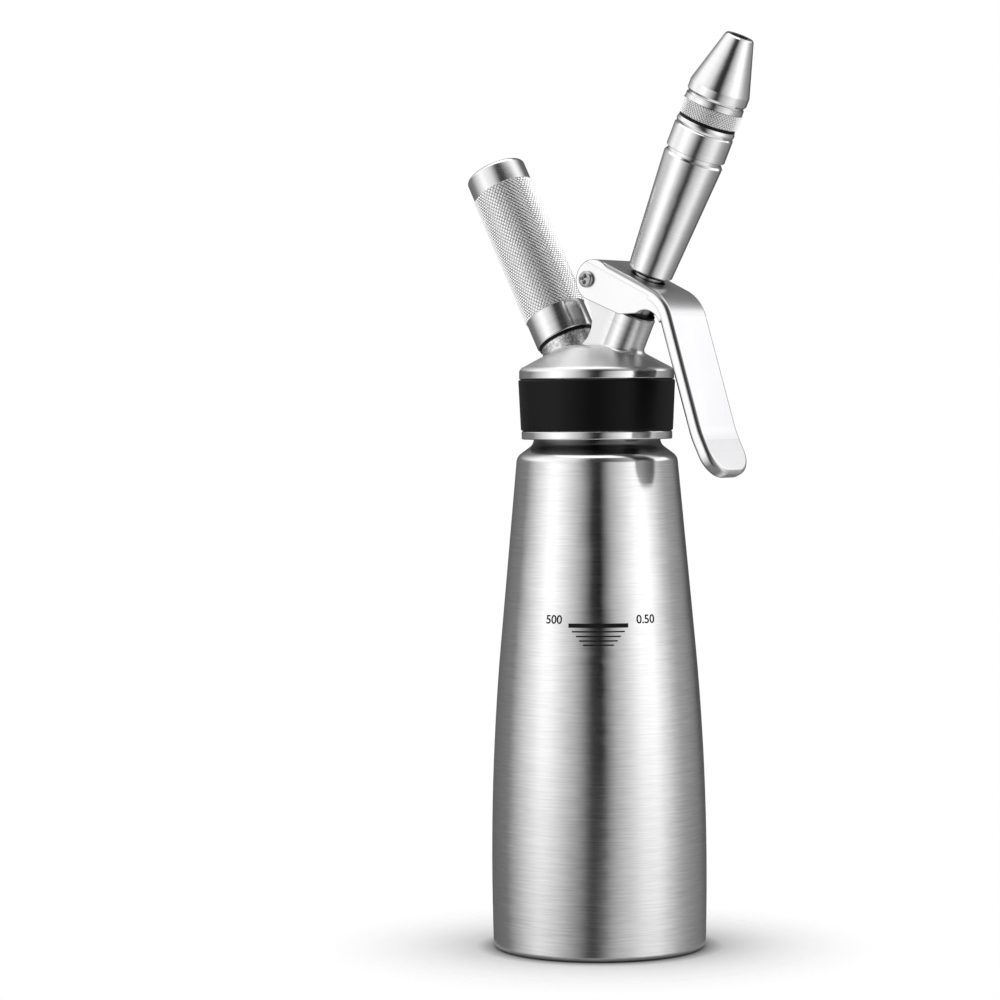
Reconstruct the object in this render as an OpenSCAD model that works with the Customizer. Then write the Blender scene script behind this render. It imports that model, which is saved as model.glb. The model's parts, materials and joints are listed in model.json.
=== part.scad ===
// Hand-held drink dispenser: a drawn steel bottle, a screw-on head with a squeeze lever and a slanting
// nozzle, and a holder for one small gas bulb. Millimetres, +Z up, origin at the middle of the base.
// The lever and the nozzle lean towards +X, the charger holder leans towards -X.

/* [Bottle] */
// Largest radius of the body
body_r = 39; // [34:0.5:46]
// Height of the widest point
widest_z = 29; // [15:1:40]
// Radius of the long curve of the wall
curve_r = 900; // [700:10:1400]
// Angle of the straight taper above the curve
taper = 5.25; // [4:0.25:6]
// Height at which the taper ends
shoulder_z = 176.33; // [150:0.01:200]
// Rounding of the shoulder
shoulder_round = 4; // [2:0.1:5]
// Slope of the shoulder cone
shoulder_slope = 36.7; // [25:0.1:45]
// Outer radius of the neck
neck_r = 23; // [20:0.5:24]
// Height of the neck above the shoulder
neck_h = 20.4; // [16:0.2:26]
// Fillet between the shoulder and the neck
neck_fillet = 3.3; // [2:0.1:3.6]
// Wall of the body
wall = 1; // [0.6:0.1:1.6]
// Wall of the neck
neck_wall = 1.6; // [1.2:0.1:2.5]
// Rounding at the foot
foot_round = 2; // [1.8:0.1:3]
// Width of the ring that the bottle stands on
foot_w = 4; // [2:0.5:8]
// Height of the hollow under the base
base_lift = 1.5; // [0.5:0.1:4]

/* [Head] */
// Gap between the shoulder and the lower flange
flange_gap = 1.7; // [0.5:0.1:4]
// Radius of the lower flange
flange_r = 27.3; // [26:0.1:30]
// Thickness of the lower flange
flange_h = 3; // [2:0.1:5]
// Height of the grip ring's seat
grip_h = 18.7; // [12:0.1:26]
// Radius of the grip ring's seat
grip_seat_r = 25.4; // [25:0.1:26]
// Radius of the grip ring at its upper edge
grip_top_r = 28.4; // [27:0.1:31]
// Radius of the grip ring at its lower edge
grip_low_r = 27.6; // [26.5:0.1:31]
// Rounding of the grip ring's edges
grip_round = 0.8; // [0.4:0.1:1.2]
// Radius of the polished band under the dome
band_r = 28.1; // [27:0.1:32]
// Height of the straight part of the band
band_h = 2.4; // [1:0.1:6]
// Rounding between the band and the dome
band_round = 2.2; // [1:0.1:3]
// Slope of the dome
dome_slope = 28; // [20:1:32]
// Height of the dome's flat crown above the straight band
crown_h = 9.9; // [8:0.1:12]
// Rounding of the crown
crown_round = 12; // [6:1:20]
// Wall of the dome
dome_wall = 4; // [3:0.1:6]
// Radial room for the thread between the neck and the head
thread_gap = 0.4; // [0.3:0.05:0.8]
// Thickness of the head gasket
gasket_h = 2; // [1:0.1:4]
// Width of the head gasket
gasket_w = 2.6; // [2:0.1:4]

/* [Valve] */
// Lean of the valve and nozzle axis
valve_tilt = 25.5; // [20:0.5:30]
// Height at which the valve axis crosses the bottle's axis, above the bottom of the head
valve_cross = 9.65; // [8:0.05:12]
// Outer radius of the spout neck
spout_r = 7.9; // [7.4:0.1:9]
// Top of the spout neck, along the valve axis
spout_top = 39.6; // [37:0.1:42]
// Fillet between the spout neck and the dome
spout_fillet = 3; // [2:0.5:4]
// Seat of the plunger, along the valve axis
seat_t = 16; // [15:0.1:18]
// Radius of the stem in the gland
stem_r = 5; // [4.5:0.1:5.5]
// Radius of the thin lower stem
stem_low_r = 2; // [1.6:0.1:2.4]
// Radius of the channel in the stem
stem_bore_r = 1.2; // [0.8:0.1:1.3]
// Radial fit of the sliding stem
stem_fit = 0.06; // [0.02:0.01:0.1]
// Wall of the gland bush
gland_wall = 1.3; // [1:0.1:1.6]
// Height of the stem seal
stem_seal_h = 2.2; // [1.5:0.1:3]
// Radius of the plunger
plunger_r = 5.4; // [4.8:0.1:6]
// Thickness of the plunger
plunger_h = 2.8; // [2:0.1:4]
// Thickness of the plunger's seal
plunger_seal_h = 1.2; // [0.8:0.1:2]
// Wire of the return spring
spring_wire = 1; // [0.6:0.1:1.2]
// Curls of the return spring
spring_turns = 5; // [3:1:6]

/* [Lever] */
// Outer width
lever_w = 24.2; // [22:0.2:26]
// Thickness of the plate
lever_t = 4; // [3:0.1:4.2]
// Thickness of the handle
handle_t = 5.2; // [4:0.1:6]
// Rounding of the long edges
lever_round = 1.8; // [0.8:0.1:1.9]
// Thickness of the side cheeks
cheek_t = 2.75; // [2:0.05:3]
// Depth of the cheeks from the top face
cheek_h = 14.8; // [13:0.1:16]
// Top face of the plate, along the valve axis
plate_top = 53.3; // [52:0.1:54]
// Distance from the pivot to the valve axis
pivot_arm = 16.4; // [15.5:0.1:19]
// Pivot below the top face of the plate
pivot_drop = 8.2; // [7.6:0.1:8.6]
// Middle of the round ear, from the pivot towards the valve axis
ear_shift = 2.4; // [0:0.1:3]
// Where the bend to the handle would have its corner, from the valve axis
bend_q = 17.2; // [14.5:0.1:18]
// Outer radius of the bend
bend_r = 15; // [12:0.5:16]
// Angle between the plate and the handle
bend_a = 47.3; // [40:0.1:50]
// Straight length of the handle
handle_len = 41; // [30:0.5:45]
// Outward turn of the flared end
flare_a = 9; // [6:1:16]
// Radius of the flare's curve
flare_r = 40; // [30:1:60]
// Straight length of the flared end up to its round edge
flare_len = 4; // [0.5:0.1:6]
// Corner radius of the flared end
flare_end_r = 9; // [6:0.1:10.5]
// Clearance of the stem in the lever's slot, across the lever
slot_gap = 0.6; // [0.4:0.1:0.8]
// Extra half length of the slot along the lever
slot_extra = 1; // [1:0.1:1.4]
// Radius of the arch cut in each cheek
arch_r = 6.6; // [5.5:0.1:7]
// Depth of the cheeks between the plate and the arch
arch_web = 3.2; // [2:0.1:4]
// Length of the cheeks' lower edge past the valve axis
lobe_q = 1.6; // [0:0.1:3]
// Rise of the cheeks' lower edge towards the arch
lobe_rise = 1; // [0:0.1:2]

/* [Pivot] */
// Radius of the pivot screw
pin_r = 1.8; // [1.5:0.1:2]
// Running fit of the pivot screw
pin_fit = 0.05; // [0.02:0.01:0.1]
// Radius of the lug round the pivot
lug_r = 3.8; // [3.6:0.1:4.2]
// Thickness of the lug
lug_w = 14.5; // [12:0.1:14.8]
// Width of the lug's web beside the spout neck
lug_web = 2.4; // [1:0.1:4]
// Wall of the pivot bush
bush_wall = 0.7; // [0.4:0.1:0.9]
// Radius of the screw head
screw_head_r = 3; // [2.6:0.1:3.6]
// Height of the screw head
screw_head_h = 1.5; // [1:0.1:2]
// Height of the nut
nut_h = 3; // [2:0.1:4]

/* [Nozzle] */
// Gap between the lever's plate and the nozzle tube
tube_gap = 2.1; // [1.9:0.1:3]
// Length of the tapered tube
tube_len = 44.4; // [36:0.2:52]
// Radius at the bottom of the tube
tube_low_r = 8.2; // [7.6:0.1:9]
// Radius at the top of the tube
tube_top_r = 10.9; // [10.5:0.1:12]
// Radius of the channel in the nozzle
nozzle_bore_r = 3.4; // [2:0.1:4]
// Length of the socket at the bottom of the nozzle tube
socket_len = 11; // [8:0.5:14]
// Thickness of the black washer under the tube
base_ring_h = 0.8; // [0.5:0.1:0.9]
// Chamfered groove between the tube and the band
band_groove = 1.4; // [0.8:0.1:2]
// Length of the band
band_len = 9; // [6:0.1:12]
// Length of the bead above the band
bead_len = 2.5; // [1.5:0.1:4]
// Thickness of the tip seal
tip_seal_h = 1.1; // [0.8:0.1:2]
// Length of the knurled collar
collar_len = 5.7; // [4:0.1:8]
// Radius of the knurled collar
collar_r = 11; // [10.8:0.1:12]
// Length of the plain ring above the collar
step_len = 2; // [1.6:0.1:4]
// Length of the jet tip's straight base
tip_base_len = 4.4; // [4:0.1:8]
// Radius of the jet tip's base
tip_r = 11; // [10.8:0.1:12]
// Length of the jet tip's cone
tip_cone_len = 19.5; // [12:0.5:24]
// Radius at the end of the jet tip
tip_end_r = 5.3; // [4.5:0.1:7]
// Radius of the outlet
outlet_r = 3; // [1.5:0.1:3.5]
// Length of the outlet's straight bore
outlet_len = 9; // [6:0.5:12]
// Radial room for the thread between the nozzle and the jet tip
tip_gap = 0.35; // [0.2:0.05:0.5]
// Thickness of the diffuser disc
disc_h = 1.5; // [1:0.1:2]
// Holes round the diffuser disc
disc_holes = 8; // [5:1:10]

/* [Charger holder] */
// Lean of the holder's axis
holder_tilt = 27.5; // [22:0.5:30]
// Height at which the holder's axis crosses the bottle's axis, above the bottom of the head
holder_cross = 10.65; // [9:0.05:12]
// Rim of the holder, along its axis
rim_u = 29.2; // [28.4:0.1:33]
// Radius of the inlet stub
stub_r = 10.3; // [10:0.1:11]
// Thickness of the black seal under the rim
holder_seal_h = 1; // [0.6:0.1:1.6]
// Radius of the plain collar and cap
holder_r = 11.2; // [11:0.1:13]
// Height of the knurled grip above the plain parts
knurl_h = 0.4; // [0.2:0.1:0.8]
// Length of the plain collar
holder_collar_len = 10.7; // [8:0.1:14]
// Length of the knurled grip
knurl_len = 51; // [40:0.5:60]
// Length of the plain cap
cap_len = 8.5; // [6:0.1:12]
// Thickness of the cap's end
cap_t = 3.2; // [2:0.1:5]
// Rounding of the cap's edge
cap_round = 1.5; // [0.5:0.1:2]
// Radius of the gas bulb
bulb_r = 9; // [8.5:0.1:9.2]
// Radius of the gas bulb's neck
bulb_neck_r = 4.2; // [3.6:0.1:4.4]
// Wall of the gas bulb
bulb_wall = 1.6; // [1:0.1:2]
// Room round the gas bulb
bulb_gap = 0.3; // [0.2:0.05:0.5]
// Radius of the threaded spigot in the holder
spigot_r = 8.6; // [8.2:0.1:8.8]
// Length of the threaded spigot
spigot_len = 9; // [7:0.5:10]
// Radius of the piercing pin's body
pierce_r = 3; // [2.5:0.1:3.2]
// Height of the pin's point above its seal
pierce_point = 2.5; // [1.5:0.1:3]
// Thickness of the seal round the pin
pin_seal_h = 0.8; // [0.6:0.1:1.2]

/* [Hidden] */
$fn = 96;
// Cutting tools run this far past the face that they open
past = 1;
// Room between seated rings and their bores
seat_gap = 0.05;
// Small broken edge on turned pieces
edge = 0.5;

// Colours
steel = [0.78, 0.78, 0.79];
bright = [0.86, 0.86, 0.87];
cast = [0.7, 0.7, 0.71];
black = [0.07, 0.07, 0.07];
brass = [0.78, 0.62, 0.33];

// Heights along the bottle's axis
taper_z = widest_z + curve_r * sin(taper);
round_mid = [body_rad(shoulder_z) - shoulder_round * cos(taper), shoulder_z - shoulder_round * sin(taper)];
cone_normal = 90 - shoulder_slope;
cone_start = round_mid + shoulder_round * [cos(cone_normal), sin(cone_normal)];
neck_z = cone_start[1] + (cone_start[0] - neck_r) * tan(shoulder_slope);
rim_z = neck_z + neck_h;
flange_z = neck_z + flange_gap;
grip_z = flange_z + flange_h;
band_z = grip_z + grip_h;
gasket_z = rim_z + gasket_h;
dome_z = band_z + band_h;
crown_z = dome_z + crown_h;
dome_mid = [band_r - band_round, dome_z];
dome_normal = 90 - dome_slope;
dome_low = dome_mid + band_round * [cos(dome_normal), sin(dome_normal)];
crown_corner = dome_low[0] - (crown_z - dome_low[1]) / tan(dome_slope);
skirt_r = neck_r + thread_gap;
valve_z = flange_z + valve_cross;
holder_z = flange_z + holder_cross;

// Stations along the valve axis
plate_low = plate_top - lever_t;
pivot_t = plate_top - pivot_drop;
gland_flange = 0.8;
gland_h = 7.2;
gland_r = stem_r + gland_wall;
gland_floor = spout_top - gland_h;
gland_low = gland_floor + stem_seal_h;
seat_h = 2;
spring_seat = seat_t + seat_h;
stem_below = 1.2;
stem_step = gland_floor - stem_below;
stem_side = 0.4;
spring_room = stem_r + stem_side;
spout_root = seat_t + 6;
press_gap = 0.1;
press_r = stem_r + slot_gap;
press_dome = 9;
press_mid = plate_low - press_gap - sqrt(pow(press_dome, 2) - pow(press_r, 2));
cheek_inset = 0.12;
stretch_reach = 0.4;
stretch_slim = 0.02;
cheek_in = lever_w / 2 - cheek_inset - cheek_t;
ear_q = ear_shift - pivot_arm;
bend_tangent = bend_r * tan(bend_a / 2);
bend_start = bend_q - bend_tangent;
press_flange_w = 2;
press_flange_r = stem_r + press_flange_w;
press_flange_h = 3.2;
press_edge = press_mid + sqrt(pow(press_dome, 2) - pow(press_flange_r, 2));
tube_t = plate_top + tube_gap;
tube_end = tube_t + tube_len;
band_t = tube_end + band_groove;
bead_t = band_t + band_len;
tip_seal_t = bead_t + bead_len;
collar_t = tip_seal_t + tip_seal_h;
step_t = collar_t + collar_len;
tip_t = step_t + step_len;
tip_cone_t = tip_t + tip_base_len;
tip_end = tip_cone_t + tip_cone_len;
stem_end = tube_t + socket_len;
tube_wall = 4.2;
adaptor_spigot_len = 8;
adaptor_low = tube_end - adaptor_spigot_len;
adaptor_spigot_r = tube_top_r - tube_wall;
tip_wall = 3.9;
tip_spigot_r = tube_top_r - tip_wall;
disc_rise = 1;
disc_t = tip_t + disc_rise;
tip_sleeve_wall = 1.6;
tip_sleeve_r = tip_spigot_r + tip_sleeve_wall;

// Stations along the holder's axis
stub_u = rim_u - holder_seal_h;
spigot_u = rim_u + spigot_len;
bulb_start = 1.8;
bulb_low = rim_u + bulb_start;
pin_seal_u = bulb_low - pin_seal_h;
pin_len = 8;
pin_low = pin_seal_u - pin_len;
check_len = 5;
check_low = pin_low - check_len;
holder_len = holder_collar_len + knurl_len + cap_len;
holder_top = rim_u + holder_len;
bulb_top = holder_top - cap_t - bulb_gap;
pin_tip_r = 1.3;
pierced_room = 0.4;
pierced_r = pin_tip_r + pierced_room;

// Radius of the bottle's wall at a height
function body_rad(z) = z < taper_z
    ? body_r - curve_r + sqrt(pow(curve_r, 2) - pow(z - widest_z, 2))
    : body_rad_curve_end() - (z - taper_z) * tan(taper);
function body_rad_curve_end() = body_r - curve_r + curve_r * cos(taper);

// Points on an arc round a middle
function arc(mid, r, from, to, steps = 8) =
    [for (i = [0:steps]) mid + r * [cos(from + (to - from) * i / steps), sin(from + (to - from) * i / steps)]];

// Side line of the bottle, moved inwards by an inset, from the middle of the base to the shoulder
function bottle_line(inset) = let(
        foot_mid = [body_rad(foot_round) - foot_round, foot_round],
        stand_r = foot_mid[0] - foot_w)
    concat(
        [[0, base_lift + inset], [stand_r - base_lift - inset / 2, base_lift + inset], [stand_r - inset / 2, inset]],
        arc(foot_mid, foot_round - inset, -90, 0, 6),
        [for (i = [1:15]) let(z = foot_round + (taper_z - foot_round) * i / 15) [body_rad(z) - inset, z]],
        arc(round_mid, shoulder_round - inset, taper, cone_normal, 12));

// Frames of the two leaning axes
module on_valve() { translate([0, 0, valve_z]) rotate([0, valve_tilt, 0]) children(); }
module on_holder() { translate([0, 0, holder_z]) rotate([0, -holder_tilt, 0]) children(); }

// A ring or a disc between two stations
module ring(low, high, out_r, in_r) {
    translate([0, 0, low]) difference() {
        cylinder(r = out_r, h = high - low);
        translate([0, 0, -past]) cylinder(r = in_r, h = high - low + 2 * past);
    }
}
module rod(low, high, r) { translate([0, 0, low]) cylinder(r = r, h = high - low); }
module taper_rod(low, high, r1, r2) { translate([0, 0, low]) cylinder(r1 = r1, r2 = r2, h = high - low); }

// Something drawn in the lever's side view, cut through a width across the lever
module across(width) { rotate([90, 0, 0]) translate([0, 0, -width / 2]) linear_extrude(width) children(); }
module at_pivot() { translate([-pivot_arm, 0, pivot_t]) rotate([90, 0, 0]) children(); }

module bottle() color(steel) {
    fillet_mid = [neck_r + neck_fillet, neck_z + neck_fillet * tan(cone_normal / 2)];
    outer = concat(bottle_line(0), arc(fillet_mid, neck_fillet, 180 + cone_normal, 180, 12),
        [[neck_r, rim_z], [0, rim_z]]);
    throat_r = neck_r - neck_wall;
    inner_cone = round_mid + (shoulder_round - wall) * [cos(cone_normal), sin(cone_normal)];
    throat_z = inner_cone[1] + (inner_cone[0] - throat_r) * tan(shoulder_slope);
    inner = concat(bottle_line(wall), [[throat_r, throat_z], [throat_r, rim_z + past], [0, rim_z + past]]);
    difference() {
        rotate_extrude() polygon(outer);
        rotate_extrude() polygon(inner);
    }
}

// Outer form of the head: flange, seat of the grip ring, band and dome
module head_turned() {
    crown_mid = [crown_corner - crown_round * tan(dome_slope / 2), crown_z - crown_round];
    rotate_extrude() polygon(concat(
        [[0, flange_z]],
        arc([flange_r - edge, flange_z + edge], edge, -90, 0, 4),
        arc([flange_r - edge, grip_z - edge], edge, 0, 90, 4),
        [[grip_seat_r, grip_z], [grip_seat_r, band_z]],
        arc([band_r - edge, band_z + edge], edge, -90, 0, 4),
        arc(dome_mid, band_round, 0, dome_normal, 12),
        arc(crown_mid, crown_round, dome_normal, 90, 12),
        [[0, crown_z]]));
}

// Hollow of the head: room for the bottle's neck, then the space under the dome
module head_hollow() {
    ceiling_z = crown_z - dome_wall;
    throat_r = skirt_r - gasket_w;
    slope_w = throat_r - (crown_z - dome_z) / tan(dome_slope) / 2;
    slope_h = (throat_r - slope_w) * tan(dome_slope);
    rotate_extrude() polygon([[0, flange_z - past], [skirt_r, flange_z - past], [skirt_r, gasket_z],
        [throat_r, gasket_z], [throat_r, ceiling_z - slope_h], [slope_w, ceiling_z], [0, ceiling_z]]);
}

// Spout neck, in the valve's frame. Its fillet leans a little to lie on the crown and on the dome's slope.
module spout() {
    fillet_sink = 0.1;
    reach = spout_r + spout_fillet - fillet_sink;
    crown_t = (crown_z - valve_z + spout_fillet - reach * sin(valve_tilt)) / cos(valve_tilt);
    slope_t = (crown_z - valve_z + reach * sin(valve_tilt) - (reach * cos(valve_tilt) - crown_corner) * tan(dome_slope))
        / (cos(valve_tilt) + sin(valve_tilt) * tan(dome_slope)) + spout_fillet;
    fillet_lean = atan((slope_t - crown_t) / reach / 2);
    rotate_extrude() polygon([[0, spout_root], [spout_r, spout_root], [spout_r, spout_top - edge],
        [spout_r - edge, spout_top], [0, spout_top]]);
    translate([0, 0, (crown_t + slope_t) / 2]) rotate([0, -fillet_lean, 0]) rotate_extrude() difference() {
        translate([0, -2 * spout_fillet]) square([reach, 2 * spout_fillet]);
        translate([reach, 0]) circle(spout_fillet);
    }
}

// Lug that carries the pivot, as a side view in the valve's frame
module lug_side() {
    pivot = [-pivot_arm, pivot_t];
    web_q = -spout_r - lug_web;
    foot_q = web_q - 2;
    foot_t = spout_root + 8;
    hollow_r = 10.4;
    hollow_t = spout_root + 5;
    lug_turn = 35;
    arm_out = lug_r * [cos(lug_turn), sin(lug_turn)];
    difference() {
        union() {
            translate(pivot) circle(lug_r);
            polygon([pivot - arm_out, [foot_q, foot_t], [foot_q, spout_root], [0, spout_root],
                [0, spout_top - 2 * past], [edge - spout_r, spout_top - past], pivot + arm_out]);
        }
        translate([web_q - hollow_r, hollow_t]) circle(hollow_r);
    }
}

module head() color(cast) {
    stub_root = seat_t + 4;
    boss_top = seat_t + 8;
    boss_r = spout_r - 0.4;
    seat_bore_r = plunger_r - 1.8;
    pierce_wall = 2.5;
    difference() {
        union() {
            difference() {
                union() {
                    head_turned();
                    on_valve() spout();
                    on_valve() across(lug_w) lug_side();
                    on_holder() rod(stub_root, stub_u, stub_r);
                }
                head_hollow();
            }
            on_valve() rod(seat_t, boss_top, boss_r);
            on_holder() rod(check_low, stub_u, pierce_r + pierce_wall);
            on_holder() rod(stub_u - past, spigot_u, spigot_r);
        }
        on_valve() {
            rod(seat_t - past, spring_seat + past, seat_bore_r);
            rod(spring_seat, gland_floor + past, spring_room);
            rod(gland_floor, spout_top + past, gland_r);
            at_pivot() translate([0, 0, -lug_w]) cylinder(r = pin_r + pin_fit + bush_wall, h = 2 * lug_w);
        }
        on_holder() {
            rod(check_low - past, pin_seal_u + past, pierce_r);
            rod(pin_seal_u, spigot_u + past, bulb_neck_r + bulb_gap);
        }
    }
}

module grip_ring() color(black) {
    low = grip_z + seat_gap;
    high = band_z - seat_gap;
    in_r = grip_seat_r + seat_gap;
    rotate_extrude() polygon(concat(
        [[in_r, low], [grip_low_r - grip_round, low]],
        arc([grip_low_r - grip_round, low + grip_round], grip_round, -90, 0, 5),
        arc([grip_top_r - grip_round, high - grip_round], grip_round, 0, 90, 5),
        [[in_r, high]]));
}

module head_gasket() color(black) ring(rim_z, gasket_z, skirt_r - seat_gap, skirt_r - gasket_w);

module gland_bush() color(black) on_valve() difference() {
    union() {
        rod(gland_low, spout_top, gland_r - seat_gap);
        rod(spout_top, spout_top + gland_flange, spout_r - edge);
    }
    rod(gland_low - past, spout_top + gland_flange + past, stem_r + stem_fit);
}

module stem_seal() color(black)
    on_valve() ring(gland_floor, gland_low, gland_r - seat_gap, stem_r + stem_fit);

module pivot_bush() color(brass) on_valve() at_pivot() difference() {
    translate([0, 0, -lug_w / 2]) cylinder(r = pin_r + pin_fit + bush_wall - seat_gap / 2, h = lug_w);
    translate([0, 0, -lug_w]) cylinder(r = pin_r + pin_fit, h = 2 * lug_w);
}

module pivot_washers() color(bright) on_valve() at_pivot() for (side = [0, 1]) mirror([0, 0, side])
    ring(lug_w / 2, cheek_in - 2 * seat_gap, lug_r - 2 * seat_gap, pin_r + pin_fit);

// Pin with a blunt point, a channel from below and a slanting hole out past its point
module piercing_pin() color(bright) on_holder() {
    point_r = 0.5;
    channel_r = 1;
    channel_top = pin_seal_u - 1.5;
    side_r = 0.35;
    side_len = 8;
    side_turn = 14;
    difference() {
        union() {
            rod(pin_low, pin_seal_u, pierce_r - seat_gap / 2);
            taper_rod(pin_seal_u, bulb_low + pierce_point, pin_tip_r, point_r);
        }
        rod(pin_low - past, channel_top, channel_r);
        translate([0, 0, channel_top - edge]) rotate([0, side_turn, 0]) cylinder(r = side_r, h = side_len);
    }
}

module pin_seal() color(black)
    on_holder() ring(pin_seal_u, bulb_low, bulb_neck_r + bulb_gap - seat_gap, pin_tip_r + seat_gap);

// Rubber sleeve with a narrow outlet that lets gas in and not out
module check_valve() color(black) on_holder() {
    floor_h = 1.2;
    slit_w = 0.6;
    slit_len = 2 * pierce_r - 2;
    difference() {
        rod(check_low, pin_low, pierce_r - seat_gap / 2);
        rod(check_low + floor_h, pin_low + past, slit_len / 2);
        translate([-slit_w / 2, -slit_len / 2, check_low - past]) cube([slit_w, slit_len, floor_h + 2 * past]);
    }
}

module holder_seal() color(black) on_holder() ring(stub_u, rim_u, holder_r - edge, spigot_r + seat_gap);

// Section across the lever, its outer face on the first axis, with rounded long edges
module strip_section(thickness, slim = 0) {
    half = lever_w / 2 - lever_round;
    translate([-half, slim - thickness]) square([2 * half, thickness - 2 * slim]);
    translate([slim - lever_w / 2, lever_round - thickness])
        square([lever_w - 2 * slim, thickness - 2 * lever_round]);
    for (side = [-half, half]) for (edge = [lever_round - thickness, -lever_round])
        translate([side, edge]) circle(lever_round - slim, $fn = 32);
}

// Sweeps along the lever: a straight stretch that reaches a little way into its neighbours, and a bend
// that turns away from the outer face
module stretch(length, thickness) {
    translate([-stretch_reach, 0, 0]) rotate([90, 0, 90]) linear_extrude(length + 2 * stretch_reach)
        strip_section(thickness, stretch_slim);
}
module round_bend(radius, angle) {
    translate([0, 0, -radius]) rotate([-90, 0, 0]) rotate([0, 0, -90])
        rotate_extrude(angle = angle) rotate([0, 0, -90]) translate([0, radius]) children();
}

// Side view of a cheek: round ear, lower edge, arch, and the middle of the plate and bend as its upper edge
module cheek_side() {
    mid_t = plate_top - lever_t / 2;
    low_t = plate_top - cheek_h;
    bend_mid = [bend_start, plate_top - bend_r];
    arch_t = plate_low - arch_web - arch_r;
    arch_q = bend_q - (handle_t + arch_r + (arch_t - plate_top) * cos(bend_a)) / sin(bend_a);
    ear();
    polygon(concat(
        [[ear_q, low_t], [lobe_q, low_t + lobe_rise]],
        arc([arch_q, arch_t], arch_r, 150, 90 - bend_a, 10),
        arc(bend_mid, bend_r - lever_t / 2, 90 - bend_a, 90, 8),
        [[ear_q, mid_t]]));
}
module ear() { translate([ear_q, plate_top - cheek_h / 2]) circle(cheek_h / 2); }

// Outline of the handle's round end, seen along its edge
module end_section() {
    edge = flare_end_r - lever_round;
    polygon(concat([[0, -handle_t]],
        arc([edge, lever_round - handle_t], lever_round, -90, 0, 8),
        arc([edge, -lever_round], lever_round, 0, 90, 8),
        [[0, 0]]));
}

// Handle past the bend: straight stretch, flare and round end
module handle() {
    corner_y = lever_w / 2 - flare_end_r;
    stretch(handle_len, handle_t);
    translate([handle_len, 0, -handle_t]) {
        mirror([0, 0, 1]) round_bend(flare_r, flare_a) mirror([0, 1]) translate([0, handle_t])
            strip_section(handle_t);
        translate([flare_r * sin(flare_a), 0, flare_r * (1 - cos(flare_a))]) rotate([0, -flare_a, 0])
            translate([0, 0, handle_t]) {
                stretch(flare_len, handle_t);
                translate([flare_len, 0, 0]) {
                    across(2 * corner_y) end_section();
                    translate([0, corner_y, 0]) rotate_extrude(angle = 90) end_section();
                    translate([0, -corner_y, 0]) rotate([0, 0, -90]) rotate_extrude(angle = 90) end_section();
                }
            }
    }
}

module lever() color(bright) on_valve() {
    difference() {
        union() {
            intersection() {
                translate([ear_q - cheek_h, 0, plate_top]) stretch(bend_start - ear_q + cheek_h, lever_t);
                across(2 * lever_w) {
                    ear();
                    translate([ear_q, plate_low - past]) square([bend_start - ear_q + past, lever_t + 2 * past]);
                }
            }
            for (side = [-1, 1]) translate([0, side * (lever_w / 2 - cheek_inset - cheek_t / 2), 0])
                across(cheek_t) cheek_side();
            translate([bend_start, 0, plate_top]) round_bend(bend_r, bend_a) strip_section(handle_t);
        }
        for (side = [-slot_extra, slot_extra]) translate([side, 0, 0])
            rod(plate_low - past, plate_top + past, press_r);
        translate([-slot_extra, -press_r, plate_low - past])
            cube([2 * slot_extra, 2 * press_r, lever_t + 2 * past]);
        at_pivot() translate([0, 0, -lever_w]) cylinder(r = pin_r + seat_gap, h = 2 * lever_w);
    }
    translate([bend_q, 0, plate_top]) rotate([0, bend_a, 0]) translate([bend_tangent, 0, 0]) handle();
}

module pivot_screw() color(bright) on_valve() at_pivot() {
    face = lever_w / 2;
    pan = screw_head_h * 0.7;
    rotate_extrude() polygon(concat([[0, -face - nut_h], [pin_r, -face - nut_h], [pin_r, face], [screw_head_r, face]],
        arc([screw_head_r - pan, face + screw_head_h - pan], pan, 0, 90, 5),
        [[0, face + screw_head_h]]));
}

module pivot_nut() color(bright) on_valve() at_pivot() difference() {
    translate([0, 0, -lever_w / 2 - nut_h]) cylinder(r = screw_head_r * 1.1, h = nut_h, $fn = 6);
    rod(-lever_w / 2 - nut_h - past, -lever_w / 2 + past, pin_r + seat_gap);
}

// Hollow stem: thin below, with a cross hole above the plunger, and a domed collar under the lever
module valve_stem() color(steel) on_valve() {
    stem_foot = seat_t - plunger_seal_h - plunger_h;
    collar_low = press_edge - press_flange_h;
    wide_t = stem_step + 3;
    wide_r = stem_r - 2;
    cross_r = stem_bore_r * 0.7;
    difference() {
        rotate_extrude() polygon(concat(
            [[0, stem_foot], [stem_low_r, stem_foot], [stem_low_r, stem_step], [stem_r, stem_step],
                [stem_r, collar_low], [press_flange_r, collar_low]],
            arc([0, press_mid], press_dome, acos(press_flange_r / press_dome), acos(stem_r / press_dome), 5),
            [[stem_r, stem_end], [0, stem_end]]));
        rod(spring_seat, stem_end + past, stem_bore_r);
        rod(wide_t, stem_end + past, wide_r);
        translate([0, 0, spring_seat + stem_bore_r]) rotate([90, 0, 0])
            cylinder(r = cross_r, h = 3 * stem_low_r, center = true);
    }
}

module valve_plunger() color(steel)
    on_valve() ring(seat_t - plunger_seal_h - plunger_h, seat_t - plunger_seal_h, plunger_r, stem_low_r + seat_gap);

module plunger_seal() color(black)
    on_valve() ring(seat_t - plunger_seal_h, seat_t, plunger_r - edge, stem_low_r + seat_gap);

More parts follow.
